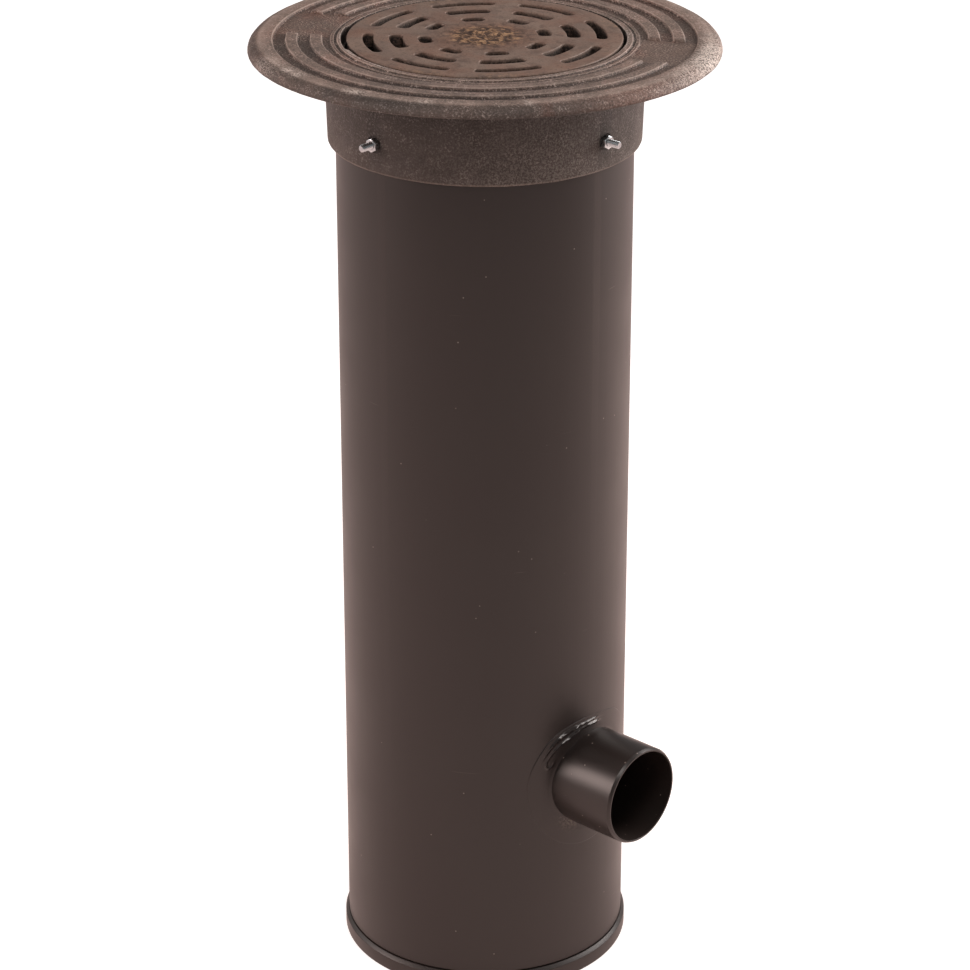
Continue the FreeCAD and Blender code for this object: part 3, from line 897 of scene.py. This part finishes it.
slot_tree, given, slot_copies = ring_tree("grate_slots", slot_cutters)
cut = add(slot_tree, "GeometryNodeMeshBoolean", {
    "Mesh 1": given["Geometry"], "Mesh 2": slot_copies,
}, operation="DIFFERENCE", solver="MANIFOLD").outputs["Mesh"]
whole = add(slot_tree, "GeometryNodeRealizeInstances", {"Geometry": cut}).outputs[0]
finished = add(slot_tree, "GeometryNodeSetMaterial", {"Geometry": whole, "Material": grate_iron}).outputs[0]
add(slot_tree, "NodeGroupOutput", {"Geometry": finished})
slot_values = {"Count": slots_per_ring, "Start": slot_start}
slot_values.update({helper.name: helper for helper in slot_cutters})
run_tree(grate_blank, slot_tree, slot_values)
for helper in slot_cutters:
    bpy.data.objects.remove(helper)
clean(grate_blank.data)
dress(grate_blank, grate_iron, "grate")

# Bolts, nuts and washers: M8 steel, bright zinc plated, with the heads and washers inside the riser.
# The nuts sit in flat seats cut in the collar, and the bolts' threaded ends stand out past them.
hex_flats = 13.0 * mm
bolt_r = 3.9 * mm
thread_pitch = 1.25 * mm
thread_depth = 0.55 * mm
head_seat = 145.98 * mm
head_height = 5.3 * mm
nut_height = 6.5 * mm
nut_bore = 4.0 * mm
bolt_tip = head_seat + 40.0 * mm
thread_start = bolt_tip - 18.0 * mm
washer_r = 8.0 * mm
washer_thickness = 1.6 * mm


def hexagon(angle, limit):
    """Radius of the hexagon, corner upwards, cut back to the round of its chamfer."""
    turned = (angle + math.pi / 6.0) % (math.pi / 3.0) - math.pi / 6.0
    return min(hex_flats / 2.0 / math.cos(math.pi / 6.0 - abs(turned)), limit)


def about_bolt(rings):
    """Rows of points from rings of distances along +X and radii about the first bolt's axis."""
    columns = len(rings[0])
    turns = [2.0 * math.pi * column / columns for column in range(columns)]
    return [[(x, r * math.sin(turn), bolt_level + r * math.cos(turn))
             for (x, r), turn in zip(ring, turns)] for ring in rings]


def hex_rows(start, end, bore):
    """Rows of a hexagon block with chamfered corners along +X, open to a bore or closed."""
    columns = 120
    face_r = 0.475 * hex_flats
    chamfer_slope = 1.75
    depths = [0.0, 0.1 * mm, 0.2 * mm, 0.35 * mm, 0.5 * mm, 0.75 * mm]
    stations = [(start + depth, depth) for depth in depths]
    stations += [(end - depth, depth) for depth in depths[::-1]]
    rings = [[(start, bore)] * columns]
    for x, depth in stations:
        rings.append([(x, hexagon(2.0 * math.pi * column / columns, face_r + chamfer_slope * depth))
                      for column in range(columns)])
    rings.append([(end, bore)] * columns)
    return about_bolt(rings)


def thread_rows():
    """Rows of the bolt's shank: plain near the head, then a rolled thread up to the bevelled tip."""
    columns = 36
    steps_per_turn = 10
    tip_bevel = 1.1 * mm
    inside_head = head_seat - 1.0 * mm
    rings = [[(inside_head, 0.0)] * columns, [(inside_head, bolt_r)] * columns]
    thread_steps = round((bolt_tip - thread_start) / thread_pitch * steps_per_turn)
    for step in range(thread_steps + 1):
        x = thread_start + (bolt_tip - thread_start) * step / thread_steps
        depth = thread_depth * min(1.0, (x - thread_start) / thread_pitch)
        ring = []
        for column in range(columns):
            phase = (x / thread_pitch - column / columns) % 1.0
            flank = min(1.0, 1.25 * abs(2.0 * phase - 1.0))
            ring.append((x, min(bolt_r - depth * flank, bolt_r - tip_bevel + bolt_tip - x)))
        rings.append(ring)
    rings.append([(bolt_tip, 0.0)] * columns)
    return about_bolt(rings)


# Bright zinc plating on steel: a fine-grained silver metal, faintly blue and hazy from passivation.
zinc, tree, shader, place = start_material("zinc_plated_steel")
bloom = add(tree, "ShaderNodeTexNoise", {
    "Vector": place, "Scale": per_metre(4.0), "Detail": 4.0}).outputs[0]
plated = add(tree, "ShaderNodeMix", {
    0: bloom, 6: colour("#a4a9ac"), 7: colour("#d3dade")}, data_type="RGBA").outputs[2]
gloss = add(tree, "ShaderNodeMapRange", {
    "Value": bloom, "From Min": 0.3, "From Max": 0.7, "To Min": 0.2, "To Max": 0.36}).outputs[0]
tree.links.new(plated, shader.inputs["Base Color"])
tree.links.new(gloss, shader.inputs["Roughness"])
shader.inputs["Metallic"].default_value = 1.0

washer_face = head_seat + washer_thickness
washer_edge = 0.2 * mm
washer_columns = 48
washer_rings = [[(x, radius)] * washer_columns for x, radius in (
    (head_seat, bolt_hole_r), (head_seat, washer_r - washer_edge), (head_seat + washer_edge, washer_r),
    (washer_face - washer_edge, washer_r), (washer_face, washer_r - washer_edge),
    (washer_face, bolt_hole_r))]
bolt = skin("bolt", thread_rows(), loop=False, sharp=35.0)
head = skin("head", hex_rows(head_seat - head_height, head_seat, 0.0), loop=False, sharp=25.0)
cut_with(bolt, head, "UNION")
nut = skin("nut", hex_rows(nut_seat, nut_seat + nut_height, nut_bore), sharp=25.0)
washer = skin("washer", about_bolt(washer_rings))
for helper, node_name in ((bolt, "fixing_bolts"), (nut, "fixing_nuts"), (washer, "fixing_washers")):
    ring_group, given, copies = ring_tree(node_name + "_ring", [helper])
    finished = add(ring_group, "GeometryNodeSetMaterial", {"Geometry": copies, "Material": zinc}).outputs[0]
    add(ring_group, "NodeGroupOutput", {"Geometry": finished})
    group = placed("zinc_" + node_name, bpy.data.meshes.new(node_name))
    run_tree(group, ring_group, {"Count": bolt_count, "Start": 0.0, helper.name: helper})
    bpy.data.objects.remove(helper)
    clean(group.data, 30.0)
    dress(group, zinc, node_name)

# Studio: a plain pale floor under soft boxes above, in front and on both sides, brightest on the right.
# The floor and the sky glow for the camera, so that they read as white paper with a soft shadow.
floor_half = 14.0
floor_corners = [(side * floor_half, end * floor_half, 0.0)
                 for side, end in ((-1, -1), (1, -1), (1, 1), (-1, 1))]
floor_mesh = bpy.data.meshes.new("studio_floor")
floor_mesh.from_pydata(floor_corners, [], [(0, 1, 2, 3)])
floor = placed("studio_floor", floor_mesh)
paper, tree, shader, place = start_material("white_paper")
tree.nodes.remove(shader)
matt = add(tree, "ShaderNodeBsdfDiffuse", {"Color": colour("#d0c0b9")}).outputs[0]
rays = add(tree, "ShaderNodeLightPath").outputs
distance = add(tree, "ShaderNodeVectorMath", {0: place}, operation="LENGTH").outputs["Value"]
far_white = add(tree, "ShaderNodeMapRange", {
    "Value": distance, "From Min": 0.3, "From Max": 1.6, "To Min": 0.8, "To Max": 1.0}).outputs[0]
seen = add(tree, "ShaderNodeMath", {0: rays["Is Glossy Ray"], 1: 0.76, 2: rays["Is Camera Ray"]},
           operation="MULTIPLY_ADD").outputs[0]
lift = add(tree, "ShaderNodeMath", {0: seen, 1: far_white}, operation="MULTIPLY").outputs[0]
sheen = add(tree, "ShaderNodeMix", {
    0: rays["Is Glossy Ray"], 6: (1.0, 1.0, 1.0, 1.0), 7: colour("#ffdfd8")}, data_type="RGBA").outputs[2]
glow = add(tree, "ShaderNodeEmission", {"Color": sheen, "Strength": lift}).outputs[0]
both = add(tree, "ShaderNodeAddShader", {0: matt, 1: glow}).outputs[0]
tree.links.new(both, tree.nodes["Material Output"].inputs["Surface"])
floor_mesh.materials.append(paper)

world = bpy.data.worlds.new("studio")
world.use_nodes = True
tree = world.node_tree
rays = add(tree, "ShaderNodeLightPath").outputs
sky_light = 0.15
sky = sky_light
for ray, added in (("Is Glossy Ray", 0.08), ("Is Camera Ray", 1.0 - sky_light)):
    sky = add(tree, "ShaderNodeMath", {
        0: rays[ray], 1: added, 2: sky}, operation="MULTIPLY_ADD").outputs[0]
tree.nodes["Background"].inputs["Color"].default_value = (1.0, 1.0, 1.0, 1.0)
tree.links.new(sky, tree.nodes["Background"].inputs["Strength"])
bpy.context.scene.world = world

view_angle = math.radians(42.56)
for name, tint, sideways, forwards, height, aimed_at, size, fan, power in (
        ("soft_box_above", "#fff6f2", 0.0, -1.6, 3.1, 0.55, 0.9, 180.0, 22.0),
        ("soft_box_right", "#fff6f2", 2.2, 0.8, 1.7, 0.55, 1.6, 180.0, 62.0),
        ("soft_box_left", "#fff6f2", -2.4, 1.2, 1.7, 0.55, 1.8, 180.0, 11.0),
        ("gridded_box_left", "#ffe6de", -2.5, -0.35, 1.25, 0.2, 1.5, 45.0, 4.8),
        ("soft_box_front", "#fff6f2", 1.6, -2.6, 2.0, 0.55, 1.6, 180.0, 5.0)):
    lamp = bpy.data.lights.new(name, "AREA")
    lamp.size = size
    lamp.spread = math.radians(fan)
    lamp.energy = power
    lamp.color = colour(tint)[:3]
    fixture = placed(name, lamp)
    fixture.location = (sideways * math.cos(view_angle) - forwards * math.sin(view_angle),
                        sideways * math.sin(view_angle) + forwards * math.cos(view_angle), height)
    aim = Vector((0.0, 0.0, aimed_at)) - fixture.location
    fixture.rotation_euler = aim.to_track_quat("-Z", "Y").to_euler()

# Camera: the photograph's view, fitted to the circles of the pipe, the frame and the base.
camera = bpy.data.cameras.new("photo_view")
camera.lens = 127.455
camera.sensor_width = 36.0
viewpoint = placed("photo_view", camera)
camera_distance = 3.45846
camera_height = 2.08174
camera_tilt = math.radians(90.0 - 23.8956)
viewpoint.location = (
    camera_distance * math.sin(view_angle), -camera_distance * math.cos(view_angle), camera_height)
viewpoint.rotation_euler = (camera_tilt, 0.0, view_angle)
bpy.context.scene.camera = viewpoint
bpy.context.scene.view_settings.view_transform = "Standard"
